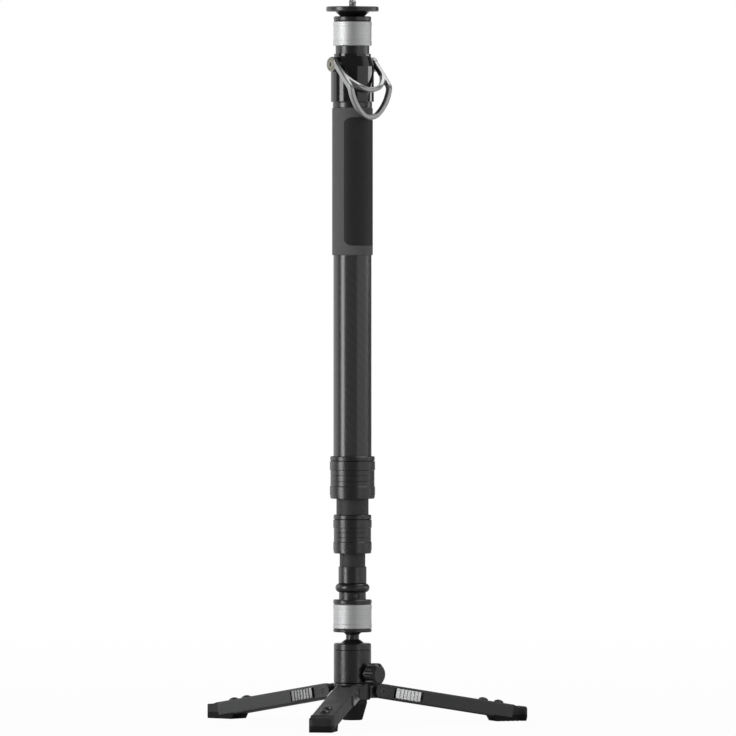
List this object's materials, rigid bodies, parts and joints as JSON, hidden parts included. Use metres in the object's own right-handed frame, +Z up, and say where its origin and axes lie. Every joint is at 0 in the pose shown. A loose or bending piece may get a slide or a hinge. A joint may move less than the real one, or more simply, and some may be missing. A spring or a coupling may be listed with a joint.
{
  "type": "camera monopod",
  "caption": "Telescopic camera monopod with twist locks, release couplings, a carry loop, and a ball joint on a folding base with spring latches.",
  "frame": {"origin": "middle of the centre foot's sole, on the column's axis; the open shoes stand 3 mm lower", "axes": "+Z up along the column; leg 1 lies along -Y; the carry loop faces 43 degrees from +X towards -Y"},
  "size_m": [0.2744, 0.2387, 0.6066],
  "materials": {
    "black_anodised": "satin black anodised aluminium",
    "leg_metal": "satin dark grey anodised aluminium",
    "collar_gloss": "gloss black moulding",
    "carbon_tube": "clear-coated dark grey carbon-fibre tube",
    "silver_satin": "fine turned silver anodised",
    "steel": "plain machined",
    "bronze_pad": "plain machined",
    "nylon": "moulded natural nylon",
    "rubber_black": "moulded matt rubber",
    "grip_grey": "matt foam rubber",
    "grip_dark": "matt fine-grained rubber"
  },
  "bodies": {
    "base": {"centre_foot": "rubber_black", "hub": "black_anodised", "hub_screw": "steel", "ball_housing": "black_anodised", "housing_cap": "black_anodised", "clamp_pad": "bronze_pad"},
    "clamp": {"clamp_knob": "black_anodised", "clamp_screw": "steel"},
    "swivel": {"ball_seat": "nylon"},
    "lower_column": {"ball_stem": "black_anodised", "lower_socket": "black_anodised", "lower_coupling_balls": "steel", "lower_tube": "carbon_tube", "end_bumper": "rubber_black", "end_sleeve": "black_anodised", "lower_guide_shim": "nylon"},
    "lower_release": {"lower_release_ring": "silver_satin"},
    "middle_column": {"middle_tube": "carbon_tube", "middle_guide_shim": "nylon", "lower_lock_bush": "black_anodised", "lower_lock_collet": "nylon"},
    "lower_lock": {"lower_lock_sleeve": "black_anodised", "lower_lock_band": "rubber_black"},
    "upper_column": {"main_tube": "carbon_tube", "upper_lock_bush": "black_anodised", "upper_lock_collet": "nylon", "grip_sleeve": "grip_grey", "grip_panel": "grip_dark", "grip_ring": "silver_satin", "carry_collar": "collar_gloss", "loop_screws": "steel", "head_socket": "black_anodised", "upper_coupling_balls": "steel", "head_plug": "black_anodised", "top_plate": "black_anodised", "plate_pad": "rubber_black", "camera_stud": "steel"},
    "upper_lock": {"upper_lock_sleeve": "black_anodised", "upper_lock_band": "rubber_black"},
    "upper_release": {"upper_release_ring": "silver_satin"},
    "loop": {"carry_loop": "silver_satin"},
    "leg_1": {"leg_1": "leg_metal", "leg_1_shoe": "rubber_black", "leg_1_buttons": "rubber_black", "leg_1_pin": "steel", "leg_1_spring": "steel"},
    "latch_1": {"leg_1_latch": "silver_satin"},
    "leg_2": {"leg_2": "leg_metal", "leg_2_shoe": "rubber_black", "leg_2_buttons": "rubber_black", "leg_2_pin": "steel", "leg_2_spring": "steel"},
    "latch_2": {"leg_2_latch": "silver_satin"},
    "leg_3": {"leg_3": "leg_metal", "leg_3_shoe": "rubber_black", "leg_3_buttons": "rubber_black", "leg_3_pin": "steel", "leg_3_spring": "steel"},
    "latch_3": {"leg_3_latch": "silver_satin"}
  },
  "joints": [
    {"name": "clamp_turn", "type": "hinge", "parent": "base", "child": "clamp", "pos_m": [0, 0, 0.03888], "axis": [0.866, -0.5, 0], "range_deg": [0, 270]},
    {"name": "ball_pan", "type": "hinge", "parent": "base", "child": "swivel", "pos_m": [0, 0, 0.0565], "axis": [0, 0, 1], "continuous": true},
    {"name": "ball_tilt", "type": "hinge", "parent": "swivel", "child": "lower_column", "pos_m": [0, 0, 0.0565], "axis": [1, 0, 0], "range_deg": [0, 20]},
    {"name": "lower_release_turn", "type": "hinge", "parent": "lower_column", "child": "lower_release", "pos_m": [0, 0, 0.0868], "axis": [0, 0, 1], "range_deg": [0, 60]},
    {"name": "lower_slide", "type": "slide", "parent": "lower_column", "child": "middle_column", "axis": [0, 0, 1], "range_m": [0, 0.33]},
    {"name": "lower_lock_turn", "type": "hinge", "parent": "middle_column", "child": "lower_lock", "pos_m": [0, 0, 0.156], "axis": [0, 0, 1], "range_deg": [0, 90]},
    {"name": "upper_slide", "type": "slide", "parent": "middle_column", "child": "upper_column", "axis": [0, 0, 1], "range_m": [0, 0.3]},
    {"name": "upper_lock_turn", "type": "hinge", "parent": "upper_column", "child": "upper_lock", "pos_m": [0, 0, 0.203], "axis": [0, 0, 1], "range_deg": [0, 90]},
    {"name": "upper_release_turn", "type": "hinge", "parent": "upper_column", "child": "upper_release", "pos_m": [0, 0, 0.575], "axis": [0, 0, 1], "range_deg": [0, 60]},
    {"name": "loop_swing", "type": "hinge", "parent": "upper_column", "child": "loop", "pos_m": [0, 0, 0.5491], "axis": [-0.682, -0.7314, 0], "range_deg": [-5, 95]},
    {"name": "leg_1_fold", "type": "hinge", "parent": "base", "child": "leg_1", "pos_m": [0, -0.024, 0.024], "axis": [1, 0, 0], "range_deg": [-98, 0]},
    {"name": "latch_1_slide", "type": "slide", "parent": "leg_1", "child": "latch_1", "axis": [0, -0.9866, -0.1633], "range_m": [-0.0012, 0.003], "stiffness_N_per_m": 400, "springref_m": -0.0032},
    {"name": "leg_2_fold", "type": "hinge", "parent": "base", "child": "leg_2", "pos_m": [0.02079, 0.012, 0.024], "axis": [-0.5, 0.866, 0], "range_deg": [-98, 0]},
    {"name": "latch_2_slide", "type": "slide", "parent": "leg_2", "child": "latch_2", "axis": [0.8544, 0.4933, -0.1633], "range_m": [-0.0012, 0.003], "stiffness_N_per_m": 400, "springref_m": -0.0032},
    {"name": "leg_3_fold", "type": "hinge", "parent": "base", "child": "leg_3", "pos_m": [-0.02079, 0.012, 0.024], "axis": [-0.5, -0.866, 0], "range_deg": [-98, 0]},
    {"name": "latch_3_slide", "type": "slide", "parent": "leg_3", "child": "latch_3", "axis": [-0.8544, 0.4933, -0.1633], "range_m": [-0.0012, 0.003], "stiffness_N_per_m": 400, "springref_m": -0.0032}
  ]
}
